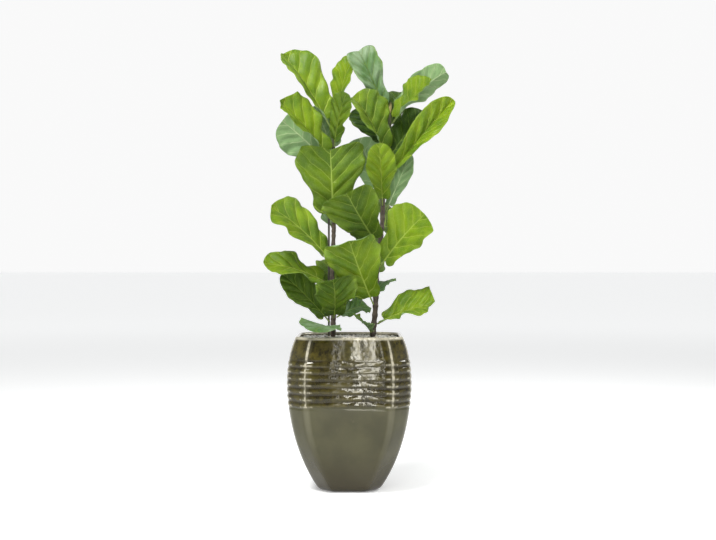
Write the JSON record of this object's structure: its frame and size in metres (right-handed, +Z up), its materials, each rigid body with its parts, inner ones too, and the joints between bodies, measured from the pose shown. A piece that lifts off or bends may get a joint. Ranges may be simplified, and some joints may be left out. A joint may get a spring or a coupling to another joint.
{
  "type": "potted fiddle leaf fig",
  "caption": "Staked fiddle leaf fig with broad wavy leaves on upright trunks, in a tapered, square-shouldered glazed ceramic pot with a rippled band",
  "frame": {"origin": "the middle of the pot's flat foot, on the surface that it stands on", "axes": "+Z is up, the way the plant grows; -Y is the pot's front face and +X is its right when seen from the front"},
  "size_m": [0.5765, 0.3955, 1.3611],
  "materials": {
    "pot": "glossy olive-brown glaze above, satin grey-olive glaze below",
    "soil": "matte dark potting soil",
    "gravel": "matte mixed grey and white gravel",
    "bark": "matte brown bark",
    "stake": "satin green-stained cane",
    "tie": "matte black",
    "leaf": "waxy semi-gloss leaf",
    "bud": "matte papery sheath"
  },
  "bodies": {
    "root": {"pot": "pot", "potting_soil": "soil", "gravel_mulch": "gravel", "trunk_left": "bark", "bud_left": "bud", "stake_left": "stake", "tie_left_1": "tie", "tie_left_2": "tie", "trunk_right": "bark", "bud_right": "bud", "leaf_left_01": "leaf", "leaf_left_02": "leaf", "leaf_left_03": "leaf", "leaf_left_04": "leaf", "leaf_left_05": "leaf", "leaf_left_06": "leaf", "leaf_left_07": "leaf", "leaf_left_08": "leaf", "leaf_left_09": "leaf", "leaf_left_10": "leaf", "leaf_left_11": "leaf", "leaf_left_12": "leaf", "leaf_left_13": "leaf", "leaf_left_14": "leaf", "leaf_left_15": "leaf", "leaf_left_16": "leaf", "leaf_right_01": "leaf", "leaf_right_02": "leaf", "leaf_right_03": "leaf", "leaf_right_04": "leaf", "leaf_right_05": "leaf", "leaf_right_06": "leaf", "leaf_right_07": "leaf", "leaf_right_08": "leaf", "leaf_right_09": "leaf", "leaf_right_10": "leaf", "leaf_right_11": "leaf", "leaf_right_12": "leaf", "leaf_right_13": "leaf", "leaf_right_14": "leaf", "leaf_right_15": "leaf", "leaf_right_16": "leaf", "leaf_right_17": "leaf", "leaf_right_18": "leaf", "leaf_right_19": "leaf"}
  },
  "joints": []
}
